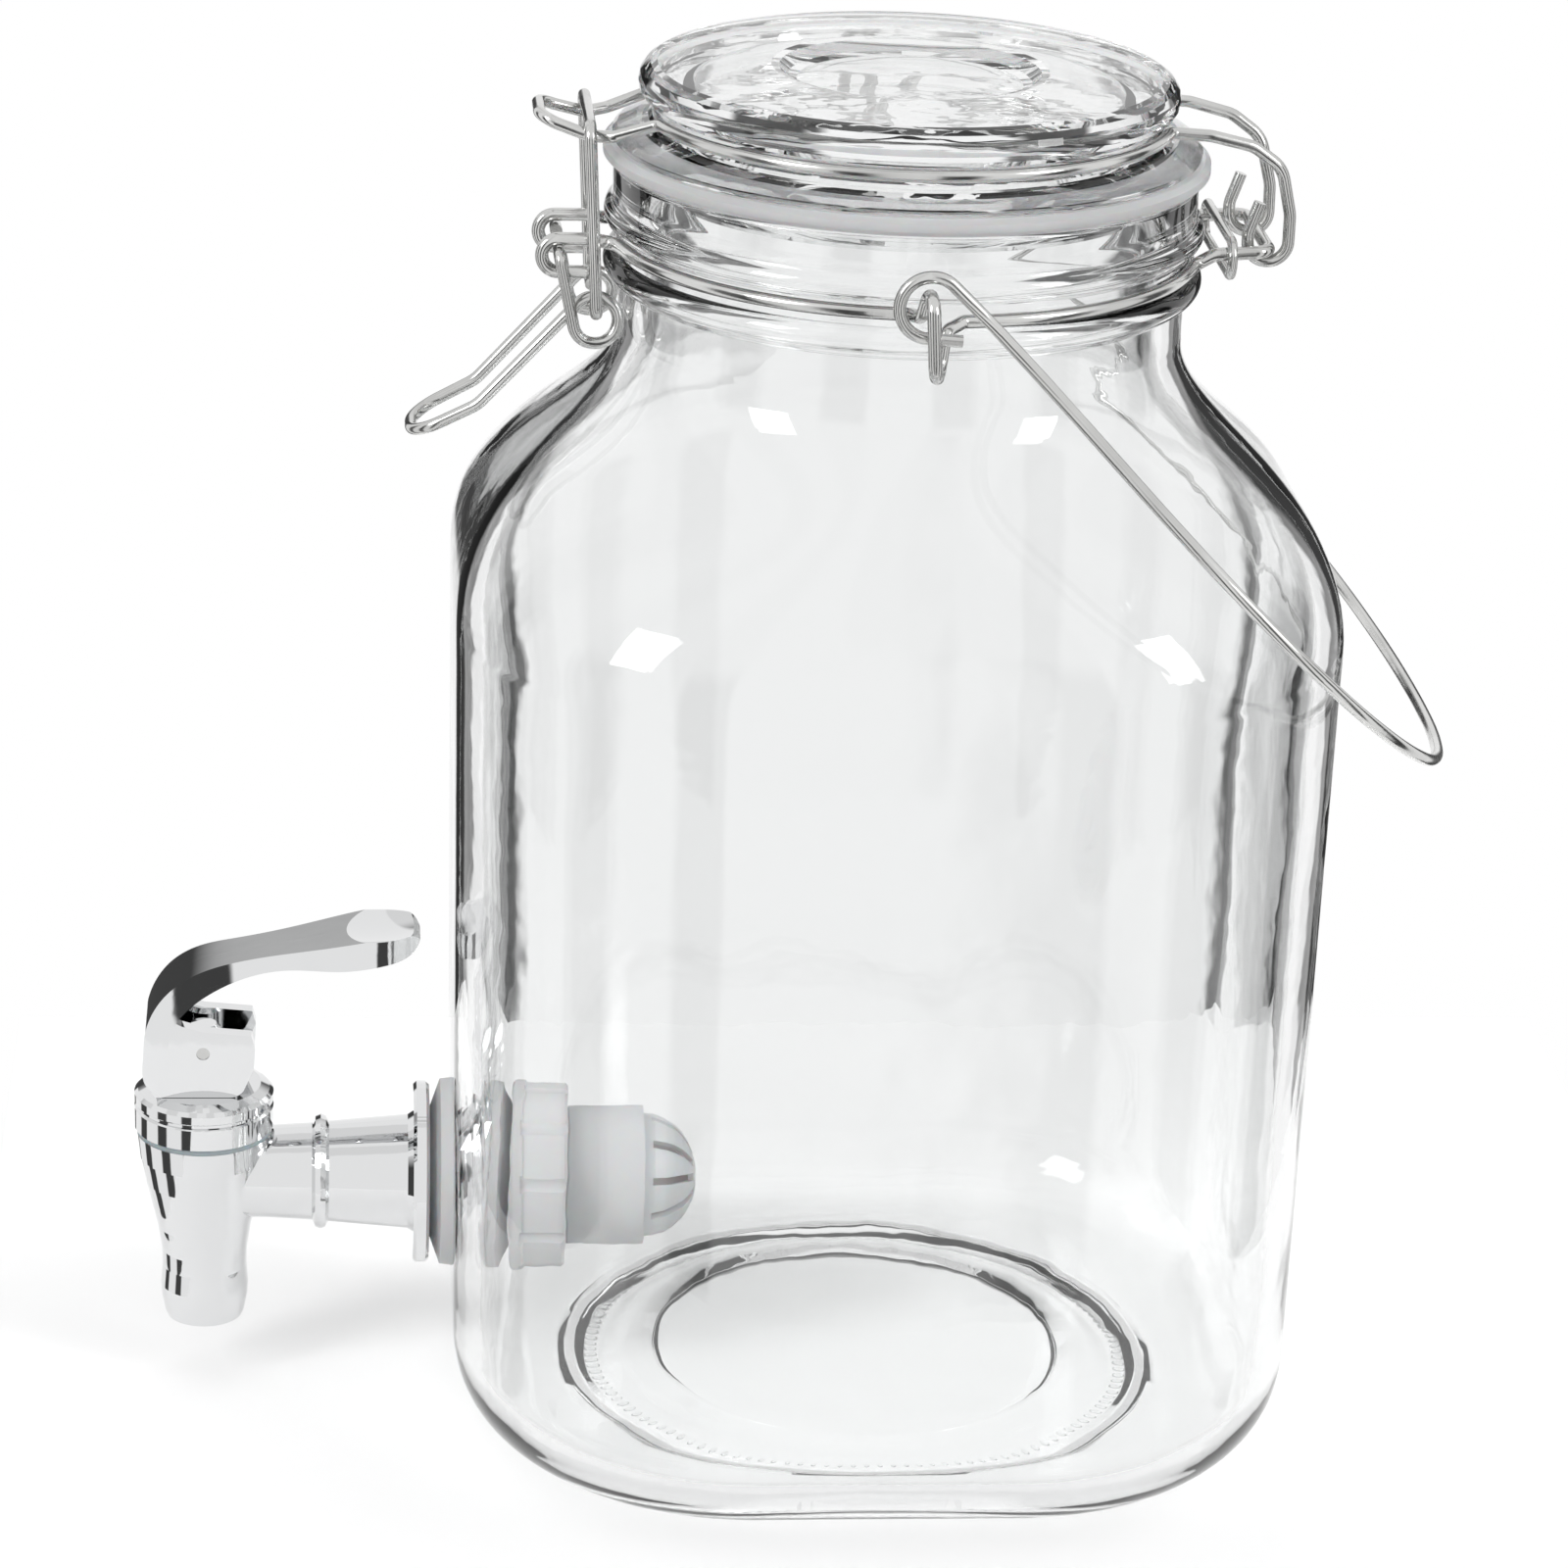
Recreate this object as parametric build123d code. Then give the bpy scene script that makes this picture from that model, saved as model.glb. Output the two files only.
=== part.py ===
from build123d import *

import math
import os

# Clip-top glass dispenser jar with a lever tap. Millimetres.
# Origin: centre of the foot ring on the surface the jar stands on. +Z up,
# the tap and the clamp point along -Y, the lid hinge lies along +Y, and the
# carrying handle is hooked on at -X and +X.

# ---- jar ----
JAR_HALF_TOP = 80.0        # half width of the rounded square under the shoulder
JAR_HALF_BASE = 78.4       # half width the straight wall tapers down to
JAR_FLAT = 24.0            # half length of each flat side, between the rounded corners
HEEL_R = 18.0
SHOULDER_Z = 160.0         # the straight wall ends here
# how far the shoulder has drawn in, from 0 at the wall to 1 at the neck
SHOULDER_LEAN = (0.0, 0.014, 0.052, 0.117, 0.21, 0.338, 0.497, 0.669, 0.828, 0.945, 1.0)
LEAD_ROWS = 2              # sections of straight wall that the shoulder's surface starts with
NECK_Z = 210.0             # the round neck starts here
NECK_R = 51.0
WALL = 4.8
BASE_T = 7.0
BEAD_R = 2.6               # round section of the two beads on the neck
BEAD_RING_R = NECK_R + 0.4         # radius of the ring each bead is centred on
BEAD_LOW_Z = 221.4
BEAD_HIGH_Z = 230.4
RIM_R = NECK_R + 1.5
RIM_Z = 240.4
FOOT_R = 57.4
FOOT_W = 2.8
FOOT_H = 1.2
PUNT_R = 38.5

# ---- lid ----
GASKET_T = 3.2
GASKET_R = RIM_R + 1.9
GASKET_IN_R = NECK_R - 4.0
FLANGE_R = RIM_R + 0.3
LID_GROOVE_R = NECK_R - 5.1
LID_WIRE_Z = 249.3
LID_DISC_R = NECK_R - 2.6
LID_DISC_Z = 254.0         # widest level of the upper disc
LID_TOP_Z = 257.4
LID_PLUG_R = NECK_R - WALL - 1.6
LID_PLUG_H = 8.0
DISH_R = 21.8
DISH_DEPTH = 2.6

# ---- wires ----
NECK_WIRE_R = 1.2
LID_WIRE_R = 1.1
CLAMP_WIRE_R = 1.1
HANDLE_WIRE_R = 1.1
TIE_WIRE_R = 0.9
TOUCH = 0.05               # gap between wires and parts that bear on each other
BEND_SHARE = 0.45          # share of a run that a flowing bend takes up at each of its ends

# ---- clamp, at the tap side ----
EYE_X = 8.6
EYE_Y = -(NECK_R + 14.3)              # outermost centreline of each eye
EYE_TOP_Z = 227.3
EYE_LOW_Z = 221.3
LEVER_LEG_X = 11.4
LEVER_ARM_X = 8.8
LOOP_R = 4.0
LOOP_Y = -(NECK_R + 4.6)
LOOP_Z = 212.9
LEVER_BEND = (8.0, -(NECK_R + 25.3), 196.3)
LEVER_TIP = (7.2, -(NECK_R + 37.0), 190.2)
LINK_X = 13.9
LINK_BAR_Y = -(NECK_R + 6.4)
NOSE_LOW_Z = 246.2

# ---- hinge, opposite the tap ----
HINGE_Y = NECK_R + 13.5
HINGE_Z = 228.0
ARM_X = 13.6
HOOK_X = 10.6
HOOK_R = 3.65
TIE_Y = NECK_R + 6.4

# ---- carrying handle ----
HANDLE_X = NECK_R + 8.3
HANDLE_Y = -1.3
HANDLE_Z = 229.6
HANDLE_HOOK_R = 5.4
HANDLE_DROOP = 44.0        # degrees below level, resting towards the lid hinge
BOW = ((59.6, 8.0), (64.0, 20.0), (71.0, 33.0), (80.0, 48.0), (86.6, 64.0), (88.0, 80.0),
       (83.6, 97.0), (74.0, 111.0), (60.0, 122.5), (43.0, 130.0), (22.0, 134.7), (0.0, 136.0))

# ---- tap ----
TAP_Z = 41.5
TAP_Y = -(JAR_HALF_TOP + 45.6)             # upright axis of the valve
TAP_TOP_Z = 50.4
OUTLET_Z = 12.2
OUTLET_R = 5.6
BONNET_R = 13.1
BONNET_TOP_Z = 60.0
SEAL_T = 0.8
STEM_R = 3.2
FIT = 0.06                 # running clearance, on the radius
PIN_R = 1.25
PIN_Z = 69.0
CHEEK_IN_X = 4.6
CHEEK_OUT_X = 7.4
CHEEK_CORNER_Y = 5.0       # centre of the rolling corner, from the pin
CHEEK_CORNER_R = 3.0
CHEEK_GAP = 0.08           # between the cheeks and the bonnet while the valve is shut
FLANGE_D = 34.6
FLANGE_T = 3.0
OUT_GASKET_T = 4.3
SHANK_R = 8.0
SHANK_END_Y = -(JAR_HALF_TOP - 30.0)
HOLE_R = SHANK_R + 0.8
BORE_R = 5.6
IN_GASKET_T = 5.0
NUT_R = 18.0
NUT_L = 11.5
SLEEVE_R = 13.2
SLEEVE_L = 15.0
DOME_R = 11.8
DOME_L = 10.6


def jar_half(z):
    """Half width of the jar's straight wall at height z."""
    return JAR_HALF_BASE + (JAR_HALF_TOP - JAR_HALF_BASE) * (z - FOOT_H) / (SHOULDER_Z - FOOT_H)


def straight(z, inset):
    half = jar_half(z) - inset
    return (half, half - JAR_FLAT - TOUCH, z)


def shoulder(inset=0.0):
    """(half width, corner radius, z) through the shoulder, from the wall to the neck.

    inset is the wall thickness when the rows describe the inside."""
    n = len(SHOULDER_LEAN) - 1
    step = (NECK_Z - SHOULDER_Z) / n
    # the last of the straight wall comes first, so that the two join without a crease
    rows = [straight(SHOULDER_Z + step * i, inset) for i in range(-LEAD_ROWS, 0)]
    fall = JAR_HALF_TOP - NECK_R + TOUCH
    for i, lean in enumerate(SHOULDER_LEAN):
        before = SHOULDER_LEAN[max(i - 1, 0)]
        after = SHOULDER_LEAN[min(i + 1, n)]
        slope = 0.0 if i in (0, n) else fall * (after - before) / (2 * step)
        half = JAR_HALF_TOP - fall * lean - inset * math.hypot(1, slope)
        climb = i / n
        flat = JAR_FLAT * (1 - climb * climb * (3 - 2 * climb)) + TOUCH
        rows.append((half, half - flat, SHOULDER_Z + step * i))
    return rows


def wall_block(low, inset, heel):
    """Straight part of the jar with its bottom edge rounded."""
    block = rounded_stack([straight(low, inset), straight(shoulder()[0][2], inset)])
    return fillet(block.edges().group_by(Axis.Z)[0], heel)


def rounded_stack(rows):
    faces = []
    for half, corner, z in rows:
        faces.append(Plane((0, 0, z)) * RectangleRounded(2 * half, 2 * half, corner))
    return loft(faces)


def spin(points, axis=Axis.Z):
    """Solid of revolution from (radius, height) points about Z."""
    outline = Polyline(*[(r, 0, z) for r, z in points], close=True)
    return revolve(make_face(outline), axis, 360)


def spin_y(points, z=TAP_Z):
    """Solid of revolution about the tap's level axis from (y, radius) points."""
    outline = Polyline(*[(0, y, z + r) for y, r in points], close=True)
    return revolve(make_face(outline), Axis((0, 0, z), (0, 1, 0)), 360)


def ring(radius, section, z):
    return Plane((0, 0, z)) * Torus(radius, section)


def bent(points):
    """Edges of a wire through (x, y, z, bend radius) points."""
    edges = []
    here = Vector(*points[0][:3])
    for i in range(1, len(points) - 1):
        corner = Vector(*points[i][:3])
        radius = points[i][3]
        a = (Vector(*points[i - 1][:3]) - corner).normalized()
        b = (Vector(*points[i + 1][:3]) - corner).normalized()
        half = math.acos(max(-1.0, min(1.0, a.dot(b)))) / 2
        reach = radius / math.tan(half)
        start = corner + a * reach
        end = corner + b * reach
        mid_dir = (a + b).normalized()
        middle = corner + mid_dir * (radius / math.sin(half) - radius)
        if (start - here).length > 1e-4:
            edges.append(Line(here, start))
        edges.append(ThreePointArc(start, middle, end))
        here = end
    last = Vector(*points[-1][:3])
    edges.append(Line(here, last))
    return edges


def mirrored(points):
    return [(-p[0],) + tuple(p[1:]) for p in reversed(points)]


def eased(points):
    """Points with the widest bend radius that each one's two runs leave room for."""
    out = []
    for before, point, after in zip(points, points[1:], points[2:]):
        a = Vector(*before[:3]) - Vector(*point[:3])
        b = Vector(*after[:3]) - Vector(*point[:3])
        half_turn = math.radians(180 - a.get_angle(b)) / 2
        out.append(tuple(point[:3]) + (BEND_SHARE * min(a.length, b.length) / math.tan(half_turn),))
    return out


def rod(edges, radius):
    path = Wire(edges)
    start = Plane(origin=path @ 0, z_dir=path % 0)
    return sweep(start * Circle(radius), path=path)


def on_ring(radius, angle, z):
    """Point on a circle about Z. angle 0 is at -Y, 90 at +X."""
    a = math.radians(angle)
    return (radius * math.sin(a), -radius * math.cos(a), z)


def tangent_point(radius, angle, z, along):
    x, y, _ = on_ring(radius, angle, z)
    a = math.radians(angle)
    return (x + along * math.cos(a), y + along * math.sin(a), z)


def groove_arc(radius, a0, a1, z0, z1=None):
    z1 = z0 if z1 is None else z1
    return ThreePointArc(on_ring(radius, a0, z0), on_ring(radius, (a0 + a1) / 2, (z0 + z1) / 2),
                         on_ring(radius, a1, z1))


# ---- glass jar ----
def make_jar():
    body = wall_block(FOOT_H, 0.0, HEEL_R) + rounded_stack(shoulder())
    finish = spin([(0, NECK_Z), (NECK_R, NECK_Z), (NECK_R, BEAD_LOW_Z - 1.0), (BEAD_RING_R, BEAD_LOW_Z),
                   (BEAD_RING_R, BEAD_HIGH_Z), (RIM_R, BEAD_HIGH_Z + 1.0), (RIM_R, RIM_Z - 1.2),
                   (RIM_R - 1.2, RIM_Z), (0, RIM_Z)])
    finish += ring(BEAD_RING_R, BEAD_R, BEAD_LOW_Z)
    finish += ring(BEAD_RING_R, BEAD_R, BEAD_HIGH_Z)
    foot = spin([(FOOT_R - FOOT_W, 0), (FOOT_R, 0), (FOOT_R + 1.0, FOOT_H + 1.0),
                 (FOOT_R - FOOT_W - 1.0, FOOT_H + 1.0)])
    body = body + finish + foot
    cavity = wall_block(BASE_T, WALL, HEEL_R - WALL) + rounded_stack(shoulder(WALL))
    cavity += Plane((0, 0, NECK_Z - 1.0)) * Cylinder(
        NECK_R - WALL - 2 * TOUCH, RIM_Z - NECK_Z + 3.0, align=(Align.CENTER, Align.CENTER, Align.MIN))
    body -= cavity
    # push-up in the middle of the base
    body -= spin([(0, -1), (FOOT_R - FOOT_W - 1.5, -1), (FOOT_R - FOOT_W - 1.5, FOOT_H + 0.4),
                  (PUNT_R + 0.8, FOOT_H + 0.8), (PUNT_R, FOOT_H + 1.8), (0, FOOT_H + 1.8)])
    # hole for the tap's shank
    body -= Pos(0, -JAR_HALF_BASE, TAP_Z) * Rot(90, 0, 0) * Cylinder(HOLE_R, 40)
    return body


# ---- lid and its gasket ----
def make_lid():
    low = RIM_Z + GASKET_T
    outline = [(0, low - LID_PLUG_H + 5.0), (LID_PLUG_R - 6.0, low - LID_PLUG_H + 5.0),
               (LID_PLUG_R - 4.2, low - LID_PLUG_H), (LID_PLUG_R - 0.6, low - LID_PLUG_H),
               (LID_PLUG_R, low - LID_PLUG_H + 0.8), (LID_PLUG_R, low), (FLANGE_R - 0.6, low),
               (FLANGE_R, low + 0.6), (FLANGE_R, low + 1.3), (FLANGE_R - 0.9, low + 2.2),
               (LID_GROOVE_R + 2.6, low + 3.6), (LID_GROOVE_R + 0.6, low + 4.0), (LID_GROOVE_R, low + 4.6),
               (LID_GROOVE_R, LID_WIRE_Z + 1.3), (LID_GROOVE_R + 1.0, LID_WIRE_Z + 2.3)]
    # rounded edge of the upper disc
    edge = LID_TOP_Z - LID_DISC_Z
    for k in range(0, 7):
        a = math.radians(-40 + 130 * k / 6)
        outline.append((LID_DISC_R - edge + edge * math.cos(a), LID_DISC_Z + edge * math.sin(a)))
    outline += [(DISH_R + 3.0, LID_TOP_Z), (DISH_R + 1.6, LID_TOP_Z - 0.3), (DISH_R, LID_TOP_Z - DISH_DEPTH + 0.5),
                (DISH_R - 1.6, LID_TOP_Z - DISH_DEPTH), (0, LID_TOP_Z - DISH_DEPTH)]
    return spin(outline)


def make_lid_gasket():
    low = RIM_Z
    return spin([(GASKET_IN_R, low), (GASKET_R - 1.0, low), (GASKET_R, low + 0.9), (GASKET_R, low + GASKET_T - 0.9),
                 (GASKET_R - 1.0, low + GASKET_T), (GASKET_IN_R, low + GASKET_T)])


# ---- wire that grips the neck: two eyes, a coil each side, hinge arms ----
def neck_wire_half():
    radius = BEAD_RING_R + NECK_WIRE_R + TOUCH
    z_front = BEAD_HIGH_Z - 3.8
    z_back = BEAD_LOW_Z + 4.0
    eye = (EYE_TOP_Z - EYE_LOW_Z) / 2 - 0.01
    first = bent([(EYE_X, EYE_Y + 8.1, EYE_LOW_Z, 0), (EYE_X, EYE_Y, EYE_LOW_Z, eye), (EYE_X, EYE_Y, EYE_TOP_Z, eye),
                  (EYE_X, -56.5, EYE_TOP_Z, 5.0), tangent_point(radius, 17, z_front, -7.0) + (3.0,),
                  on_ring(radius, 17, z_front) + (0,)])
    front_arc = groove_arc(radius, 17, 81, z_front)
    coil = bent([on_ring(radius, 81, z_front) + (0,), tangent_point(radius, 81, z_front, 4.2) + (1.8,),
                 (56.7, -2.5, 227.2, 1.7), (57.4, -1.5, 231.7, 2.0), (62.9, -1.3, 231.3, 2.6),
                 (62.9, -0.4, 217.6, 3.2), (55.9, 1.0, 217.6, 3.0), (55.9, 1.7, 224.5, 2.0),
                 tangent_point(radius, 99.5, z_back, -3.6) + (2.0,), on_ring(radius, 99.5, z_back) + (0,)])
    back_arc = groove_arc(radius, 99.5, 162, z_back)
    arm = [on_ring(radius, 162, z_back) + (0,), tangent_point(radius, 162, z_back, 2.7) + (2.2,),
           (ARM_X, 54.5, HINGE_Z - 0.6, 4.0), (ARM_X, HINGE_Y, HINGE_Z, 2.6)]
    return first, front_arc, coil, back_arc, arm, radius, z_front, z_back


def flip(edges):
    return [e.mirror(Plane.YZ) for e in reversed(edges)]


def make_neck_wire():
    first, front_arc, coil, back_arc, arm, _, _, _ = neck_wire_half()
    half = list(first) + [front_arc] + list(coil) + [back_arc]
    rear = bent(arm + mirrored(arm))
    other = flip(half)
    return rod(half + rear + other, NECK_WIRE_R)


def make_tie_ring():
    z_arm = HINGE_Z - 0.6 + 0.6 * (TIE_Y - 54.5) / (HINGE_Y - 54.5)
    top = z_arm + NECK_WIRE_R + TIE_WIRE_R + 4 * TOUCH
    low = top - 6.2
    half = ARM_X + NECK_WIRE_R + TIE_WIRE_R + 0.3
    bend = 2.8
    edges = bent([(0, TIE_Y, top, 0), (half, TIE_Y, top, bend), (half, TIE_Y, low, bend), (-half, TIE_Y, low, bend),
                  (-half, TIE_Y, top, bend), (0, TIE_Y, top, 0)])
    return rod(edges, TIE_WIRE_R)


# ---- wire round the lid: nose at the clamp, hooks at the hinge ----
def make_lid_wire():
    radius = LID_GROOVE_R + LID_WIRE_R + TOUCH
    z = LID_WIRE_Z
    low = HINGE_Z - NECK_WIRE_R - LID_WIRE_R - 0.2
    inner_y = HINGE_Y - HOOK_R - 0.05
    outer_y = HINGE_Y + HOOK_R + 0.05
    hook = bent([(HOOK_X, inner_y + 1.8, low + 10.8, 0), (HOOK_X, inner_y, low + 5.4, 4.0),
                 (HOOK_X, inner_y, low, HOOK_R), (HOOK_X, outer_y, low, HOOK_R), (HOOK_X + 0.3, outer_y - 0.1, 234.2, 7.0),
                 (11.6, 66.0, 242.9, 6.0), (12.3, 60.5, 246.9, 6.0), (13.0, 52.5, 248.9, 5.0),
                 tangent_point(radius, 162, z, 1.7) + (1.9,), on_ring(radius, 162, z) + (0,)])
    side = groove_arc(radius, 162, 18, z)
    nose = [on_ring(radius, 18, z) + (0,), tangent_point(radius, 18, z, -1.7) + (1.9,), (11.2, -53.4, NOSE_LOW_Z + 0.3, 4.0),
            (9.0, LINK_BAR_Y, NOSE_LOW_Z, 4.0), (7.3, -63.0, NOSE_LOW_Z + 1.7, 5.0), (6.4, -66.0, NOSE_LOW_Z + 2.9, 4.0)]
    half = list(hook) + [side]
    front = bent(nose + mirrored(nose))
    return rod(half + front + flip(half), LID_WIRE_R)


# ---- clamp lever and the link it pulls down over the nose ----
def lever_pivot():
    return (EYE_Y + (EYE_TOP_Z - EYE_LOW_Z) / 2 + 0.1, EYE_TOP_Z - NECK_WIRE_R - CLAMP_WIRE_R - 2 * TOUCH)


def link_pivot():
    return (LOOP_Y, LOOP_Z + LOOP_R - 2 * CLAMP_WIRE_R - TOUCH)


def make_clamp_lever():
    ay, az = lever_pivot()
    # headings, in degrees, of the wire going into and out of the loop
    into = math.degrees(math.atan2(LOOP_Z - az, LOOP_Y - ay)) - math.degrees(
        math.asin(LOOP_R / math.hypot(LOOP_Z - az, LOOP_Y - ay)))
    by, bz = LEVER_BEND[1:]
    away = math.degrees(math.atan2(bz - LOOP_Z, by - LOOP_Y)) + math.degrees(
        math.asin(LOOP_R / math.hypot(bz - LOOP_Z, by - LOOP_Y))) + 360
    turn = (away - into) / 4
    out = LOOP_R / math.cos(math.radians(turn / 2))
    points = [(EYE_X - 2.3, ay, az, 0), (LEVER_LEG_X, ay, az, 1.6)]
    for k, x in enumerate((LEVER_LEG_X, 10.7, 9.8, LEVER_ARM_X)):
        h = math.radians(into + turn * (k + 0.5))
        points.append((x, LOOP_Y + out * math.sin(h), LOOP_Z - out * math.cos(h), LOOP_R - 0.12))
    points += [LEVER_BEND + (7.0,), LEVER_TIP + (6.2,)]
    return rod(bent(points + mirrored(points)), CLAMP_WIRE_R)


def make_clamp_link():
    py, pz = link_pivot()
    bar_z = NOSE_LOW_Z + LID_WIRE_R + CLAMP_WIRE_R + 0.3
    half = [(LEVER_ARM_X - 1.4, py, pz, 0), (LINK_X, py, pz, 1.7), (LINK_X, LINK_BAR_Y, bar_z, 2.6)]
    return rod(bent(half + mirrored(half)), CLAMP_WIRE_R)


# ---- carrying handle ----
def make_handle():
    droop = math.radians(HANDLE_DROOP)
    dy, dz = math.cos(droop), -math.sin(droop)
    ny, nz = math.sin(droop), math.cos(droop)

    def at(x, u):
        return (x, HANDLE_Y + u * dy + HANDLE_HOOK_R * ny, HANDLE_Z + u * dz + HANDLE_HOOK_R * nz)

    start = 180 - HANDLE_DROOP
    turn = 220.0 / 3
    out = HANDLE_HOOK_R / math.cos(math.radians(turn / 2))
    corners = []
    for k in range(3):
        h = math.radians(start + turn * (k + 0.5))
        corners.append((HANDLE_X, HANDLE_Y + out * math.sin(h), HANDLE_Z - out * math.cos(h), HANDLE_HOOK_R - 0.05))
    h = math.radians(start + 220.0)
    last = corners[-1]
    reach = out * math.sin(math.radians(turn / 2)) + 6.0
    cut = (HANDLE_X, last[1] + reach * math.cos(h), last[2] + reach * math.sin(h), 0)
    side = [at(x, u) + (0,) for x, u in BOW[:-1]]
    bow = side + [at(*BOW[-1]) + (0,)] + mirrored(side)
    hook = [cut] + list(reversed(corners))
    bend = eased([at(HANDLE_X, 0.0)] + bow + [at(-HANDLE_X, 0.0)])
    return rod(bent(hook + bend + mirrored(hook)), HANDLE_WIRE_R)


# ---- tap ----
def at_tap(shape):
    return Pos(0, TAP_Y, 0) * shape


WALL_OUT_Y = -jar_half(TAP_Z)
WALL_IN_Y = WALL_OUT_Y + WALL
FLANGE_IN_Y = WALL_OUT_Y - OUT_GASKET_T
FLANGE_OUT_Y = FLANGE_IN_Y - FLANGE_T
CHAMBER = [(OUTLET_R, OUTLET_Z - 1), (OUTLET_R, 30.0), (7.2, 33.0), (9.2, 39.0), (10.2, 44.0), (10.2, TAP_TOP_Z + 1)]


def make_tap_body():
    shell = at_tap(spin([(0, OUTLET_Z), (7.2, OUTLET_Z), (7.6, OUTLET_Z + 1.0), (8.2, 16.4), (8.3, 18.6), (8.0, 22.6),
                         (8.1, 26.0), (8.9, 31.0), (10.1, 36.0), (11.2, 40.5), (12.2, 45.6), (12.7, TAP_TOP_Z),
                         (0, TAP_TOP_Z)]))
    tube = spin_y([(TAP_Y, 0), (TAP_Y, 8.7), (-114.0, 8.8), (-105.2, 9.3), (-104.6, 10.6), (-103.6, 11.0),
                   (-102.6, 10.6), (-102.0, 9.6), (FLANGE_OUT_Y - 1.0, 10.9), (FLANGE_OUT_Y, 11.6),
                   (FLANGE_OUT_Y, FLANGE_D / 2 - 0.6), (FLANGE_OUT_Y + 0.6, FLANGE_D / 2),
                   (FLANGE_IN_Y - 0.6, FLANGE_D / 2), (FLANGE_IN_Y, FLANGE_D / 2 - 0.6), (FLANGE_IN_Y, SHANK_R),
                   (SHANK_END_Y - 0.8, SHANK_R), (SHANK_END_Y, SHANK_R - 0.8), (SHANK_END_Y, 0)])
    body = shell + tube
    body -= at_tap(spin([(0, OUTLET_Z - 1)] + CHAMBER + [(0, TAP_TOP_Z + 1)]))
    body -= spin_y([(TAP_Y, 0), (TAP_Y, BORE_R), (SHANK_END_Y + 1, BORE_R), (SHANK_END_Y + 1, 0)])
    return body


def make_bonnet_seal():
    return at_tap(spin([(10.5, TAP_TOP_Z), (12.5, TAP_TOP_Z), (12.5, TAP_TOP_Z + SEAL_T), (10.5, TAP_TOP_Z + SEAL_T)]))


def make_bonnet():
    low = TAP_TOP_Z + SEAL_T
    bore = STEM_R + FIT
    return at_tap(spin([(bore, 46.6), (10.2 - FIT, 46.6), (10.2 - FIT, low), (BONNET_R - 0.4, low), (BONNET_R, low + 0.4),
                        (BONNET_R, 55.6), (BONNET_R - 0.5, 56.0), (BONNET_R - 0.5, 56.5), (BONNET_R, 56.9),
                        (BONNET_R, 58.4), (BONNET_R - 0.7, 59.1), (BONNET_R - 2.4, BONNET_TOP_Z), (bore, BONNET_TOP_Z)]))


def make_valve_stem():
    stem = at_tap(spin([(0, 31.2), (2.2, 31.2), (2.2, 36.0), (STEM_R, 36.0), (STEM_R, 71.4), (STEM_R - 0.8, 72.2),
                        (0, 72.2)]))
    stem -= Pos(0, TAP_Y, PIN_Z) * Rot(0, 90, 0) * Cylinder(PIN_R + FIT, 4 * STEM_R)
    return stem


def make_seat_cup():
    return at_tap(spin([(2.2, 31.2), (4.4, 30.4), (5.4, 30.6), (6.2, 31.4), (6.6, 32.6), (6.6, 36.0), (2.2, 36.0)]))


def make_return_spring():
    coil_r, wire_r, low, high = 5.4, 0.45, 36.6, 46.0
    turns = 4.0
    helix = Helix(pitch=(high - low) / turns, height=high - low, radius=coil_r)
    path = Pos(0, TAP_Y, low) * helix
    start = Plane(origin=path @ 0, z_dir=path % 0)
    return sweep(start * Circle(wire_r), path=path, is_frenet=True)


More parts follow.
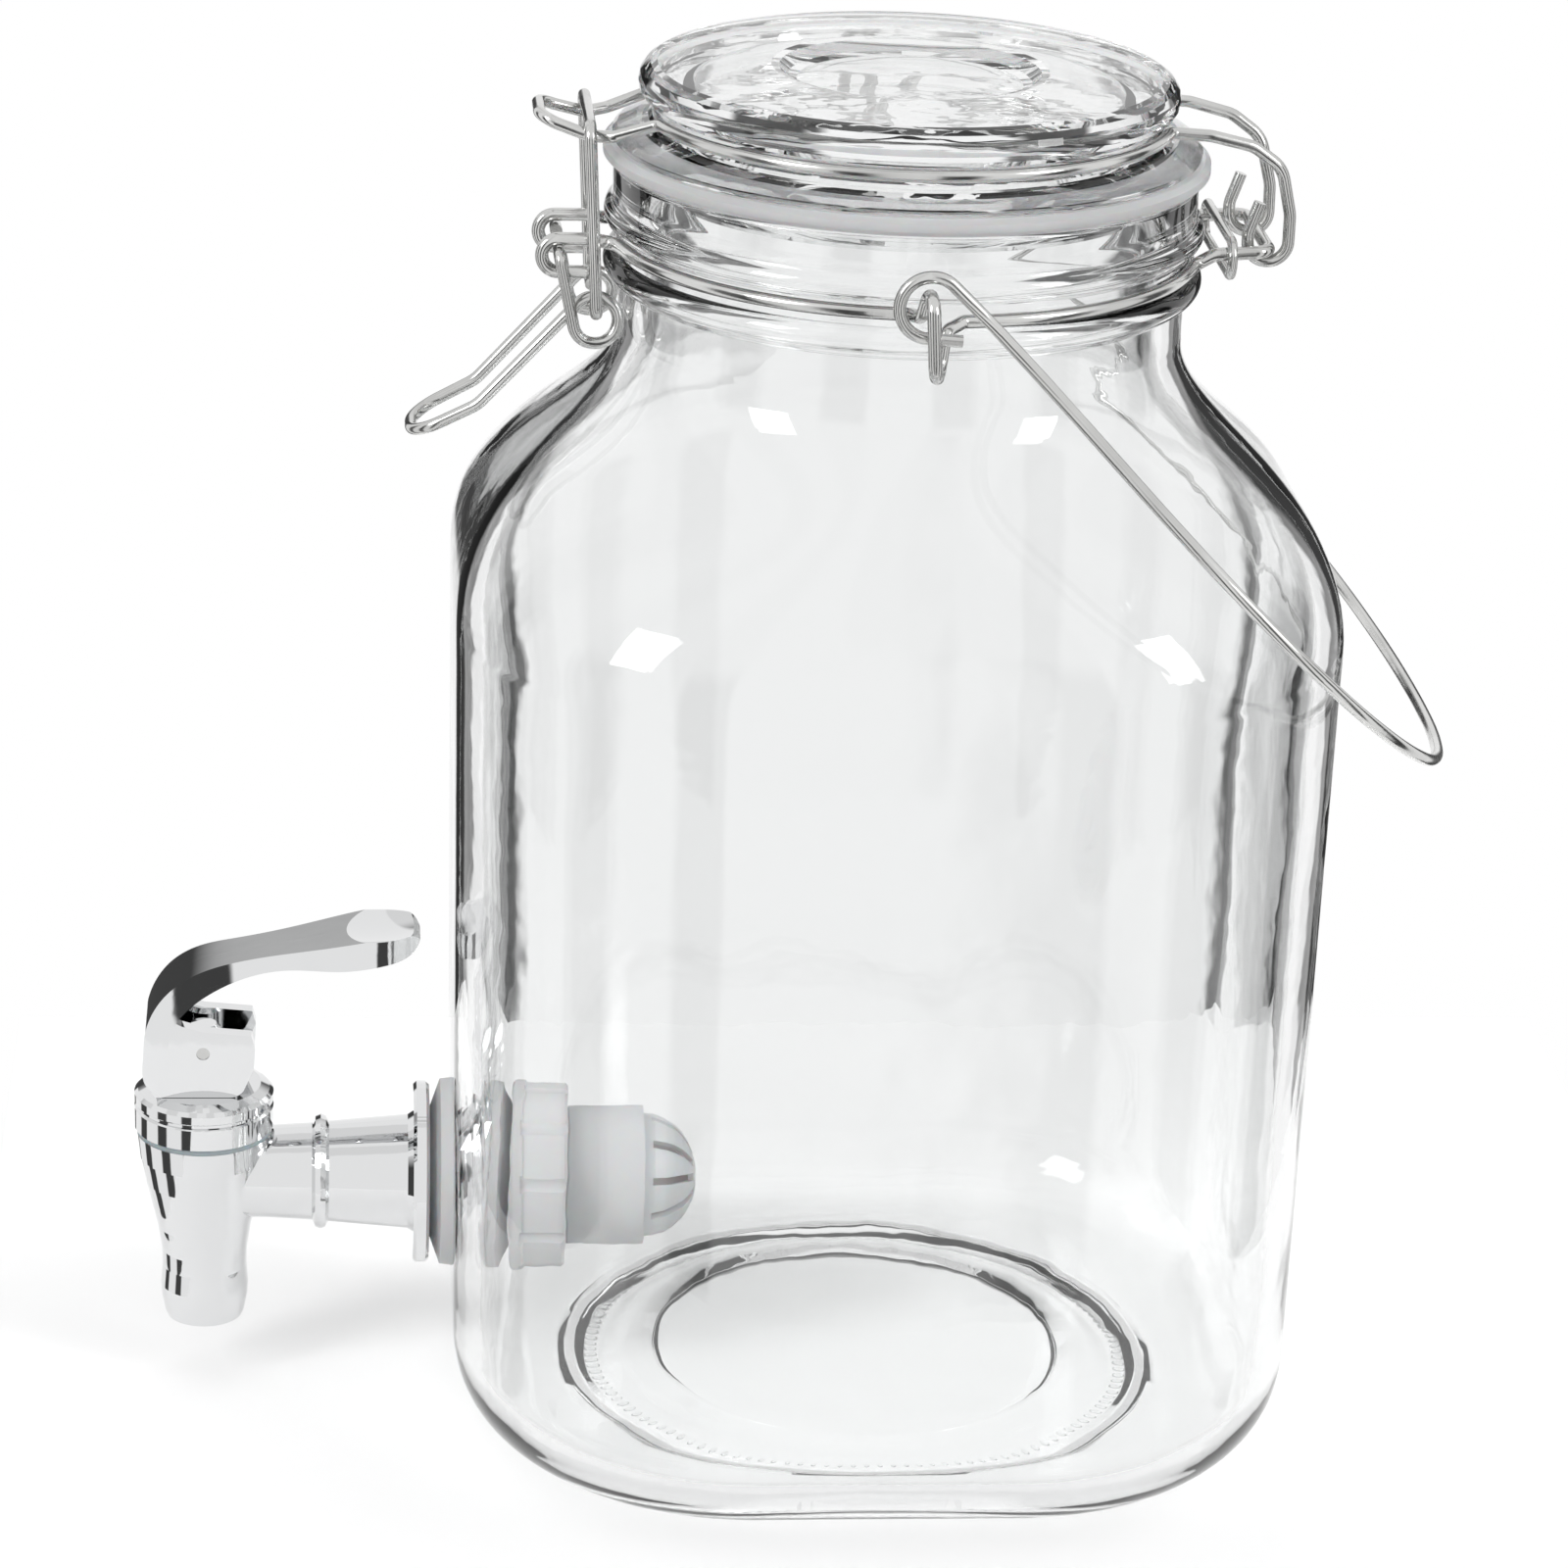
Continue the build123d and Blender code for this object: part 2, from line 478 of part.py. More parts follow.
def make_tap_lever():
    # side view, y from the pin, z absolute: back, thumb paddle and underside
    blade = [(-9.6, 61.4), (-10.9, 63.0), (-11.2, 68.0), (-10.8, 73.0), (-9.2, 77.6), (-6.0, 81.8), (-1.0, 85.0),
             (6.0, 87.0), (14.0, 88.6), (22.0, 90.2), (30.0, 91.9), (36.0, 92.7), (39.0, 92.2), (40.4, 90.6),
             (39.4, 89.2), (34.0, 87.2), (26.0, 85.9), (16.0, 85.6), (9.0, 84.2), (2.0, 81.2), (-3.0, 77.6),
             (-5.6, 74.0), (-6.6, 70.0), (-6.8, 66.0), (-6.8, 61.4)]
    top = Spline(*[(0, TAP_Y + y, z) for y, z in blade[:14]])
    under = Spline(*[(0, TAP_Y + y, z) for y, z in blade[13:]])
    close = Line((0, TAP_Y + blade[-1][0], blade[-1][1]), (0, TAP_Y + blade[0][0], blade[0][1]))
    side = make_face(Wire([top, under, close]))
    solid = extrude(side, amount=12.0, dir=(1, 0, 0), both=True)
    # plan view: waisted behind the cheeks, wide at the thumb
    plan = [(-12.5, CHEEK_OUT_X), (-4.0, CHEEK_OUT_X), (5.0, 6.2), (14.0, 6.3), (22.0, 7.4), (29.0, 8.2), (35.0, 7.8),
            (39.0, 5.6), (40.6, 2.6)]
    right = [(x, TAP_Y + y, 55.0) for y, x in plan]
    left = [(-x, y, z) for x, y, z in reversed(right)]
    outline = Wire([Spline(*right), ThreePointArc(right[-1], (0, TAP_Y + 41.2, 55.0), left[0]), Spline(*left),
                    Line(left[-1], right[0])])
    solid = solid & extrude(make_face(outline), amount=60.0, dir=(0, 0, 1))
    # hollow of the thumb rest
    solid -= Pos(0, TAP_Y + 30.5, 128.6) * Rot(-10, 0, 0) * Sphere(37.6)
    # two cheeks with a rolling corner each, just clear of the bonnet
    low = BONNET_TOP_Z + CHEEK_GAP
    cy, cr = CHEEK_CORNER_Y, CHEEK_CORNER_R
    cheek = [(-9.6, low + 1.0), (-9.0, low), (cy, low)]
    rear = [(cy + 4.5, 66.0), (cy + 4.7, 70.0), (cy + 4.0, 72.6), (0.0, 73.4), (-4.0, 74.6), (-7.6, 76.6), (-9.6, 73.0)]
    pts = [(0, TAP_Y + y, z) for y, z in cheek]
    arc = ThreePointArc(pts[-1], (0, TAP_Y + cy + cr * math.sin(math.radians(40)),
                                  low + cr - cr * math.cos(math.radians(40))),
                        (0, TAP_Y + cy + cr * math.sin(math.radians(70)), low + cr - cr * math.cos(math.radians(70))))
    rest = [(0, TAP_Y + y, z) for y, z in rear]
    profile = Wire(list(Polyline(*pts).edges()) + [arc] + list(Polyline(arc @ 1, *rest, pts[0]).edges()))
    face = make_face(profile)
    for sign in (1, -1):
        plate = extrude(face, amount=CHEEK_OUT_X - CHEEK_IN_X, dir=(1, 0, 0))
        solid += Pos(CHEEK_IN_X if sign > 0 else -CHEEK_OUT_X, 0, 0) * plate
    solid -= Pos(0, TAP_Y, PIN_Z) * Rot(0, 90, 0) * Cylinder(PIN_R, 4 * CHEEK_OUT_X)
    return solid


def make_lever_pin():
    return Pos(0, TAP_Y, PIN_Z) * Rot(0, 90, 0) * Cylinder(PIN_R, 2 * CHEEK_OUT_X - 0.4)


# ---- tap fastening, either side of the jar wall ----
def make_outer_gasket():
    y0, y1 = FLANGE_IN_Y, WALL_OUT_Y
    blank = spin_y([(y0, SHANK_R + FIT), (y0, 11.8), (y1 - 2.2, 17.6), (y1, 17.9), (y1 + 1, 17.9),
                    (y1 + 1, SHANK_R + FIT)])
    # the seat is pressed to the lean of the glass
    return blank - wall_block(FOOT_H, 0.0, HEEL_R)


def make_inner_gasket():
    y0, y1 = WALL_IN_Y, WALL_IN_Y + IN_GASKET_T
    blank = spin_y([(y0 - 1, SHANK_R + FIT), (y0 - 1, 17.9), (y0, 17.9), (y0 + 2.4, 17.7), (y1, 12.4),
                    (y1, SHANK_R + FIT)])
    return blank & wall_block(BASE_T, WALL, HEEL_R - WALL)


def make_shank_nut():
    y0 = WALL_IN_Y + IN_GASKET_T
    y1 = y0 + NUT_L
    nut = spin_y([(y0, SHANK_R), (y0, NUT_R - 0.4), (y0 + 0.4, NUT_R), (y0 + 2.4, NUT_R), (y0 + 2.8, NUT_R - 0.5),
                  (y1 - 0.6, NUT_R - 0.5), (y1, NUT_R - 1.1), (y1, SHANK_R)])
    for k in range(10):
        grip = Pos(0, (y0 + y1) / 2 + 2.0, NUT_R + 1.0) * Rot(90, 0, 0) * Cylinder(2.0, NUT_L)
        nut -= Pos(0, 0, TAP_Z) * Rot(0, 36 * k, 0) * grip
    return nut


def make_sleeve():
    y0 = WALL_IN_Y + IN_GASKET_T + NUT_L
    y1 = y0 + SLEEVE_L
    return spin_y([(y0, SHANK_R), (y0, SLEEVE_R - 0.4), (y0 + 0.4, SLEEVE_R), (y1, SLEEVE_R), (y1, DOME_R - 0.6),
                   (SHANK_END_Y + 1.5, DOME_R - 0.6), (SHANK_END_Y + 1.5, SHANK_R)])


def make_dome():
    y0 = WALL_IN_Y + IN_GASKET_T + NUT_L + SLEEVE_L
    shell_t = 1.2
    outer, inner = [], []
    for k in range(9):
        a = math.radians(90 * k / 8)
        outer.append((y0 + DOME_L * math.sin(a), DOME_R * math.cos(a)))
        inner.append((y0 + (DOME_L - shell_t) * math.sin(a), (DOME_R - shell_t) * math.cos(a)))
    dome = spin_y([(y0, DOME_R)] + outer[1:-1] + [(outer[-1][0], 0), (inner[-1][0], 0)]
                  + list(reversed(inner[:-1])))
    for k in range(5):
        slot = Pos(0, y0 + 1.6 + 4.2, 0) * Box(1.5, 8.4, 3 * DOME_R)
        rim = Pos(0, y0 + 5.0, 0) * Rot(90, 0, 0) * Cylinder(4.0, 20)
        dome -= Pos(0, 0, TAP_Z) * Rot(0, 36 * k, 0) * (slot - rim)
    return dome


NODES = {
    "jar_body": make_jar,
    "lid": make_lid,
    "lid_gasket": make_lid_gasket,
    "neck_wire": make_neck_wire,
    "hinge_tie_ring": make_tie_ring,
    "lid_wire": make_lid_wire,
    "clamp_lever": make_clamp_lever,
    "clamp_link": make_clamp_link,
    "carry_handle": make_handle,
    "tap_body": make_tap_body,
    "bonnet_seal": make_bonnet_seal,
    "tap_bonnet": make_bonnet,
    "valve_stem": make_valve_stem,
    "seat_cup": make_seat_cup,
    "return_spring": make_return_spring,
    "tap_lever": make_tap_lever,
    "lever_pin": make_lever_pin,
    "outer_gasket": make_outer_gasket,
    "inner_gasket": make_inner_gasket,
    "shank_nut": make_shank_nut,
    "strainer_sleeve": make_sleeve,
    "strainer_dome": make_dome,
}

os.makedirs("parts", exist_ok=True)
for node, make in NODES.items():
    shape = make()
    solids = shape.solids()
    if len(solids) != 1:
        print(node, "has", len(solids), "solids")
    export_step(solids[0] if len(solids) == 1 else shape, f"parts/{node}.step")
    box = shape.bounding_box()
    print(node, round(shape.volume, 1), [round(v, 2) for v in (*box.min, *box.max)])
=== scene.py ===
import math

import bmesh
import bpy
from mathutils import Matrix, Vector


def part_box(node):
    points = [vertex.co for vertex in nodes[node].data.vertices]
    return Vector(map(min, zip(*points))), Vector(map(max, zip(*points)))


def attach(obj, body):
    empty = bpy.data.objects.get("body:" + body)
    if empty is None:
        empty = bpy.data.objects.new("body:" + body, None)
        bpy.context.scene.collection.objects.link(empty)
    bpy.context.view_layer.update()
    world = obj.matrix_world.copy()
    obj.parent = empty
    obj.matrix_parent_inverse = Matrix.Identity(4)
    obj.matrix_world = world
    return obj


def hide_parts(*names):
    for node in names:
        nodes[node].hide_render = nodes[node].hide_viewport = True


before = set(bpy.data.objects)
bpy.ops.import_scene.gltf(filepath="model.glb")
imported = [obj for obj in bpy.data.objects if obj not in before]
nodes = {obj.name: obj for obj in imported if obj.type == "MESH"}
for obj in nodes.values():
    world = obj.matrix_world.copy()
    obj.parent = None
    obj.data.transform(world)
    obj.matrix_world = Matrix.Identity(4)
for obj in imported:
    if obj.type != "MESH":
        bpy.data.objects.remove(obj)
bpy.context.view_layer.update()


# ---------------------------------------------------------------- materials
class Shader:
    """A new material with one Principled shader, and short calls to feed it."""

    def __init__(self, name, **values):
        self.material = bpy.data.materials.new(name)
        self.material.use_nodes = True
        self.tree = self.material.node_tree
        self.skin = self.tree.nodes["Principled BSDF"]
        for socket, value in values.items():
            self.skin.inputs[socket.replace("_", " ")].default_value = value

    def node(self, kind, values=None, **settings):
        made = self.tree.nodes.new(kind)
        for name, value in settings.items():
            setattr(made, name, value)
        for socket, value in (values or {}).items():
            made.inputs[socket].default_value = value
        return made

    def join(self, out, into):
        self.tree.links.new(out, into)

    def noise(self, size, detail):
        """Noise in Object coordinates, whose largest features are about size metres across."""
        coords = self.node("ShaderNodeTexCoord")
        tex = self.node("ShaderNodeTexNoise", {"Scale": 1 / size, "Detail": detail, "Roughness": 0.5})
        self.join(coords.outputs["Object"], tex.inputs["Vector"])
        return tex.outputs["Fac"]

    def spread(self, value, low, high):
        """value, stretched from the middle of its range to low..high."""
        span = self.node("ShaderNodeMapRange",
                         {"From Min": 0.3, "From Max": 0.7, "To Min": low, "To Max": high})
        self.join(value, span.inputs["Value"])
        return span.outputs["Result"]

    def ramp(self, value, stops):
        """Colour from (position, colour) stops."""
        ramp = self.node("ShaderNodeValToRGB")
        marks = ramp.color_ramp.elements
        while len(marks) < len(stops):
            marks.new(0.5)
        for mark, (at, colour) in zip(marks, stops):
            mark.position = at
            mark.color = colour + (1,)
        self.join(value, ramp.inputs["Fac"])
        return ramp.outputs["Color"]

    def bump(self, *layers):
        """Stacks (height socket, distance in metres) layers into the normal."""
        normal = None
        for height, distance in layers:
            step = self.node("ShaderNodeBump", {"Distance": distance, "Strength": 1.0})
            self.join(height, step.inputs["Height"])
            if normal is not None:
                self.join(normal, step.inputs["Normal"])
            normal = step.outputs["Normal"]
        self.join(normal, self.skin.inputs["Normal"])
        return self

    def feed(self, socket, value):
        self.join(value, self.skin.inputs[socket])
        return self


def clear_glass(name, wave):
    """Pressed soda glass: clear, with long waves from the mould and shorter, fainter ones over them."""
    glass = Shader(name, Base_Color=(0.925, 0.93, 0.93, 1), Roughness=0.0, IOR=1.5,
                   Transmission_Weight=1.0)
    return glass.bump((glass.noise(0.05, 2.0), wave), (glass.noise(0.012, 2.0), wave * 0.12))


def polished_wire():
    """Drawn stainless wire: bright, with faint draw lines and small dull spots."""
    steel = Shader("wire_polished", Base_Color=(0.62, 0.62, 0.61, 1), Metallic=1.0, Roughness=0.16)
    steel.feed("Roughness", steel.spread(steel.noise(0.006, 4.0), 0.10, 0.24))
    steel.feed("Base Color", steel.ramp(steel.noise(0.02, 3.0),
                                        [(0.3, (0.54, 0.54, 0.53)), (0.7, (0.70, 0.70, 0.69))]))
    return steel.bump((steel.noise(0.0006, 2.0), 0.000004))


def bright_chrome():
    """Chrome plate over a moulded body: a mirror with a very slight orange peel."""
    chrome = Shader("chrome_plate", Base_Color=(0.74, 0.745, 0.75, 1), Metallic=1.0, Roughness=0.03)
    chrome.feed("Roughness", chrome.spread(chrome.noise(0.02, 4.0), 0.02, 0.06))
    return chrome.bump((chrome.noise(0.008, 2.0), 0.000012))


def milky(name, colour, rough, through, grain):
    """Translucent moulded rubber or plastic."""
    rubber = Shader(name, Base_Color=colour + (1,), Roughness=rough, IOR=1.42, Transmission_Weight=through,
                    Subsurface_Weight=0.35, Subsurface_Scale=0.004)
    rubber.feed("Roughness", rubber.spread(rubber.noise(0.01, 4.0), rough - 0.06, rough + 0.08))
    return rubber.bump((rubber.noise(0.0012, 3.0), grain))


GLASS = clear_glass("glass_pressed", 0.0004)
LID_GLASS = clear_glass("glass_lid", 0.0006)
WIRE = polished_wire()
CHROME = bright_chrome()
SEAL = milky("silicone_seal", (0.80, 0.81, 0.82), 0.35, 0.5, 0.00001)
SEAL_DARK = milky("silicone_gasket", (0.62, 0.63, 0.64), 0.4, 0.3, 0.00001)
NYLON = milky("plastic_milky", (0.76, 0.77, 0.78), 0.38, 0.45, 0.000015)

FINISH = {
    GLASS: ("jar_body",),
    LID_GLASS: ("lid",),
    SEAL: ("lid_gasket", "bonnet_seal", "seat_cup"),
    SEAL_DARK: ("outer_gasket", "inner_gasket"),
    WIRE: ("neck_wire", "hinge_tie_ring", "lid_wire", "clamp_lever", "clamp_link", "carry_handle",
           "return_spring", "lever_pin"),
    CHROME: ("tap_body", "tap_bonnet", "valve_stem", "tap_lever"),
    NYLON: ("shank_nut", "strainer_sleeve", "strainer_dome"),
}
for finish, names in FINISH.items():
    for name in names:
        nodes[name].data.materials.clear()
        nodes[name].data.materials.append(finish.material)
# a glass shadow would be black, because light isn't traced through it
nodes["lid"].visible_shadow = False


# ---------------------------------------------------------------- the jar's glass
MM = 0.001
AROUND = 192                      # edges round the jar
HALF_TOP = 80 * MM                # half width under the shoulder
HALF_BASE = 78.4 * MM             # half width that the wall tapers down to
FLAT = 24 * MM                    # half length of each flat side
HEEL = 18 * MM
WALL = 4.8 * MM
BASE = 7 * MM                     # top of the glass floor
FOOT_IN = 54.6 * MM               # the ring that the jar stands on
FOOT_OUT = 57.4 * MM
FOOT_H = 1.2 * MM
PUNT = 38.5 * MM                  # radius of the push-up
PUNT_Z = FOOT_H + 1.8 * MM
SHOULDER_Z = 160 * MM
NECK_Z = 210 * MM
NECK = 51 * MM
BEAD = 2.6 * MM                   # radius of a bead's own section
BEAD_RING = 51.4 * MM
BEADS_Z = (221.4 * MM, 230.4 * MM)
RIM = 52.5 * MM
RIM_EDGE = 1.4 * MM               # rounded edges of the rim, outside and inside
MOUTH_EDGE = 1.2 * MM
RIM_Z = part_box("jar_body")[1][2]
HOLE_R = 8.8 * MM                 # the tap's hole
HOLE_Z = 41.5 * MM
KNURL_RIBS = 132


def outline(angle, half, flat):
    """Distance from the axis to a rounded square's edge in this direction."""
    off = abs((angle + math.pi / 4) % (math.pi / 2) - math.pi / 4)
    if half * math.tan(off) <= flat:
        return half / math.cos(off)
    towards = flat * (math.cos(off) + math.sin(off))
    return towards + math.sqrt(towards ** 2 - 2 * flat ** 2 + (half - flat) ** 2)


def wall_half(z):
    """Half width of the straight wall, which tapers towards the base."""
    return HALF_BASE + (HALF_TOP - HALF_BASE) * (z - FOOT_H) / (SHOULDER_Z - FOOT_H)


def ease(t):
    """0 to 1 with a level start and end."""
    return t * t * (3 - 2 * t)


def shoulder_levels(inset, count=30):
    """The shoulder's outline: a Bezier curve that leaves the wall upright and meets the neck upright."""
    low_pull, high_pull = 28 * MM, 16 * MM    # how far the curve stays near each end's direction
    rise = NECK_Z - SHOULDER_Z
    levels = []
    for i in range(count + 1):
        t = i / count
        s = 1 - t
        height = 3 * s * s * t * low_pull + 3 * s * t * t * (rise - high_pull) + t ** 3 * rise
        run = 6 * s * t * (HALF_TOP - NECK)
        climb = 3 * s * s * low_pull + 6 * s * t * (rise - high_pull - low_pull) + 3 * t * t * high_pull
        lean = math.hypot(run, climb)
        half = HALF_TOP + (NECK - HALF_TOP) * ease(t) - inset * climb / lean
        levels.append((half, FLAT * (1 - ease(height / rise)), SHOULDER_Z + height - inset * run / lean))
    return levels


def arc(centre, radius, start, end, count):
    """(radius from the axis, 0, z) points round an arc in degrees. 0 points outwards and 90 up."""
    turn = [math.radians(start + (end - start) * i / count) for i in range(count + 1)]
    return [(centre[0] + radius * math.cos(a), 0.0, centre[1] + radius * math.sin(a)) for a in turn]


def underside_levels():
    """From the middle of the push-up, over the foot ring, to where the heel starts."""
    levels = [(r * MM, 0.0, PUNT_Z) for r in (2, 8, 15, 22, 29, 34, 37)]
    levels += [(PUNT, 0.0, FOOT_H + 1.7 * MM), (PUNT + 0.5 * MM, 0.0, FOOT_H + 1.1 * MM),
               (PUNT + 1.4 * MM, 0.0, FOOT_H + 0.8 * MM), (46 * MM, 0.0, FOOT_H + 0.6 * MM),
               (FOOT_IN - 1.6 * MM, 0.0, FOOT_H + 0.4 * MM), (FOOT_IN - 0.8 * MM, 0.0, FOOT_H)]
    levels += [(FOOT_IN, 0.0, 0.25 * MM), (FOOT_IN + 0.6 * MM, 0.0, 0.0),
               (FOOT_OUT - 0.6 * MM, 0.0, 0.0), (FOOT_OUT, 0.0, 0.25 * MM),
               (FOOT_OUT + 0.7 * MM, 0.0, FOOT_H - 0.2 * MM), (FOOT_OUT + 1.4 * MM, FLAT * 0.2, FOOT_H)]
    return levels


def heel_levels(steps=14):
    """The rounded edge between the underside and the wall. The flats lengthen over its first steps."""
    levels = []
    for i in range(steps):
        a = math.pi / 2 * i / steps
        levels.append((HALF_BASE - HEEL + HEEL * math.sin(a), FLAT * min(1, 0.6 + 0.4 * i / 4),
                       FOOT_H + HEEL * (1 - math.cos(a))))
    return levels


def inner_base_levels(steps=12):
    """The inner rounded edge, then the glass floor to its middle."""
    radius = HEEL - WALL
    floor = wall_half(BASE) - WALL - radius
    levels = []
    for i in range(steps + 1):
        a = math.pi / 2 * i / steps
        levels.append((floor + radius * math.cos(a), FLAT, BASE + radius * (1 - math.sin(a))))
    return levels + [(floor * k, FLAT * k * k, BASE) for k in (0.85, 0.7, 0.5, 0.3, 0.12, 0.04)]


def jar_levels():
    """(half width, half length of the flat, z) from the underside's middle to the inner floor's middle."""
    rise = [FOOT_H + HEEL + (SHOULDER_Z - FOOT_H - HEEL) * i / 24 for i in range(24)]
    outside = underside_levels() + heel_levels()
    outside += [(wall_half(z), FLAT, z) for z in rise] + shoulder_levels(0.0)
    outside += [(NECK, 0.0, z * MM) for z in (212, 214, 216, 218)]
    outside += arc((BEAD_RING, BEADS_Z[0]), BEAD, -82, 82, 12)
    outside += arc((BEAD_RING, BEADS_Z[1]), BEAD, -82, 58, 11)
    outside += [(RIM, 0.0, 233.4 * MM), (RIM, 0.0, 236 * MM)]
    outside += arc((RIM - RIM_EDGE, RIM_Z - RIM_EDGE), RIM_EDGE, 0, 90, 5)
    bore = NECK - WALL - 0.1 * MM
    inside = arc((bore + MOUTH_EDGE, RIM_Z - MOUTH_EDGE), MOUTH_EDGE, 90, 180, 4)
    inside += [(bore, 0.0, z * MM) for z in (235, 230, 225, 220, 215)]
    inside += list(reversed(shoulder_levels(WALL)))
    inside += [(wall_half(z) - WALL, FLAT, z) for z in reversed(rise[1:])]
    return outside + inside + inner_base_levels()


def only(obj):
    """Selects this one object."""
    bpy.ops.object.select_all(action="DESELECT")
    bpy.context.view_layer.objects.active = obj
    obj.select_set(True)


def turned(name, levels):
    """A closed skin drawn ring by ring from a circle, each ring shaped to its level."""
    bpy.ops.object.select_all(action="DESELECT")
    half, flat, z = levels[0]
    bpy.ops.mesh.primitive_circle_add(vertices=AROUND, radius=half, location=(0, 0, z))
    skin = bpy.context.object
    skin.name = skin.data.name = name
    bpy.ops.object.transform_apply(location=True, rotation=True, scale=True)
    bpy.ops.object.mode_set(mode="EDIT")
    bpy.ops.mesh.select_all(action="SELECT")
    for half, flat, z in levels[1:]:
        bpy.ops.mesh.extrude_region_move()
        mesh = bmesh.from_edit_mesh(skin.data)
        for point in (v for v in mesh.verts if v.select):
            angle = math.atan2(point.co.y, point.co.x)
            reach = outline(angle, half, flat)
            point.co = (reach * math.cos(angle), reach * math.sin(angle), z)
    # both ends close to a point: the last ring first, then the circle that it all began with
    bpy.ops.mesh.extrude_region_move()
    bpy.ops.mesh.merge(type="CENTER")
    bpy.ops.mesh.select_all(action="DESELECT")
    mesh = bmesh.from_edit_mesh(skin.data)
    for edge in (e for e in mesh.edges if e.is_boundary):
        edge.select = True
    bpy.ops.mesh.extrude_region_move()
    bpy.ops.mesh.merge(type="CENTER")
    bpy.ops.mesh.select_all(action="SELECT")
    bpy.ops.mesh.normals_make_consistent(inside=False)
    bpy.ops.object.mode_set(mode="OBJECT")
    return skin


def cut(obj, tool):
    """Takes the tool's shape out of obj and deletes the tool."""
    only(obj)
    trim = obj.modifiers.new("cut", "BOOLEAN")
    trim.operation, trim.solver, trim.object = "DIFFERENCE", "EXACT", tool
    bpy.ops.object.modifier_apply(modifier=trim.name)
    bpy.data.objects.remove(tool)


def finished(obj, shader, body, angle):
    """Smooths edges under the angle in degrees, and gives obj its material and body."""
    only(obj)
    bpy.ops.object.shade_smooth_by_angle(angle=math.radians(angle))
    obj.data.materials.clear()
    obj.data.materials.append(shader.material)
    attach(obj, body)


def make_jar_glass():
    """The jar's glass, with smoother curves through heel and shoulder than the solid's facets give."""
    jar = turned("jar_glass", jar_levels())
    bpy.ops.object.select_all(action="DESELECT")
    bpy.ops.mesh.primitive_cylinder_add(vertices=64, radius=HOLE_R, depth=40 * MM,
                                        location=(0, -HALF_BASE, HOLE_Z), rotation=(math.pi / 2, 0, 0))
    cut(jar, bpy.context.object)
    finished(jar, GLASS, "jar", 40)
    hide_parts("jar_body")
    jar.visible_shadow = False


def make_base_knurl():
    """The ring of short radial ribs moulded just inside the foot."""
    ring = FOOT_IN - 2.4 * MM
    bpy.ops.object.select_all(action="DESELECT")
    bpy.ops.mesh.primitive_uv_sphere_add(segments=10, ring_count=6, radius=1 * MM, location=(0, 0, 0))
    rib = bpy.context.object
    rib.name = rib.data.name = "base_knurl"
    rib.scale = (1.3, 0.5, 0.42)
    rib.location = (ring, 0, FOOT_H - 0.08 * MM)
    bpy.ops.object.transform_apply(location=True, rotation=True, scale=True)
    bpy.ops.object.mode_set(mode="EDIT")
    bpy.ops.mesh.select_all(action="SELECT")
    bpy.ops.mesh.spin(steps=KNURL_RIBS, dupli=True, angle=2 * math.pi, center=(0, 0, 0), axis=(0, 0, 1))
    bpy.ops.mesh.select_all(action="SELECT")
    bpy.ops.mesh.remove_doubles(threshold=0.01 * MM)
    bpy.ops.object.mode_set(mode="OBJECT")
    finished(rib, GLASS, "jar", 60)
    rib.visible_shadow = False


make_jar_glass()
make_base_knurl()


# ---------------------------------------------------------------- studio
WINDOW_AIM = (0, 0, 0.12)
CARDS = 8.0                       # white cards standing round the object
CARD_TURN = math.radians(174.7)   # direction of the middle of one card
DARK_GAP = 0.06                   # brightness between the cards
CEILING = 0.85
BOUNCES = 24                      # enough for light to pass every wall of glass


def add_camera():
    """The camera stands at the handle's side, a little above, turned towards the tap."""
    right = Vector((0.07962, 0.99619, 0.03554))
    up = Vector((-0.35496, -0.00498, 0.93487))
    ahead = Vector((-0.93149, 0.08705, -0.35321))
    data = bpy.data.cameras.new("studio_camera")
    data.lens = 121.7
    data.sensor_width = 36
    data.clip_end = 20
    place = (0.9219, -0.1039, 0.4704)
    camera = bpy.data.objects.new("studio_camera", data)
    bpy.context.scene.collection.objects.link(camera)
    turn = Matrix((right, up, -ahead)).transposed().to_4x4()
    camera.matrix_world = Matrix.Translation(place) @ turn
    bpy.context.scene.camera = camera


def add_floor():
    """A white floor just larger than the object, so that no grey shows beyond the contact shadow."""
    bpy.ops.object.select_all(action="DESELECT")
    bpy.ops.mesh.primitive_plane_add(size=0.34, location=(0, 0, 0))
    floor = bpy.context.object
    floor.name = "floor"
    paint = Shader("floor_white", Base_Color=(0.9, 0.9, 0.9, 1), Roughness=0.9, Emission_Color=(1, 1, 1, 1),
                   Emission_Strength=0.04)
    paint.feed("Base Color", paint.ramp(paint.noise(0.4, 2.0),
                                        [(0.3, (0.90, 0.90, 0.90)), (0.7, (0.92, 0.92, 0.92))]))
    floor.data.materials.append(paint.material)


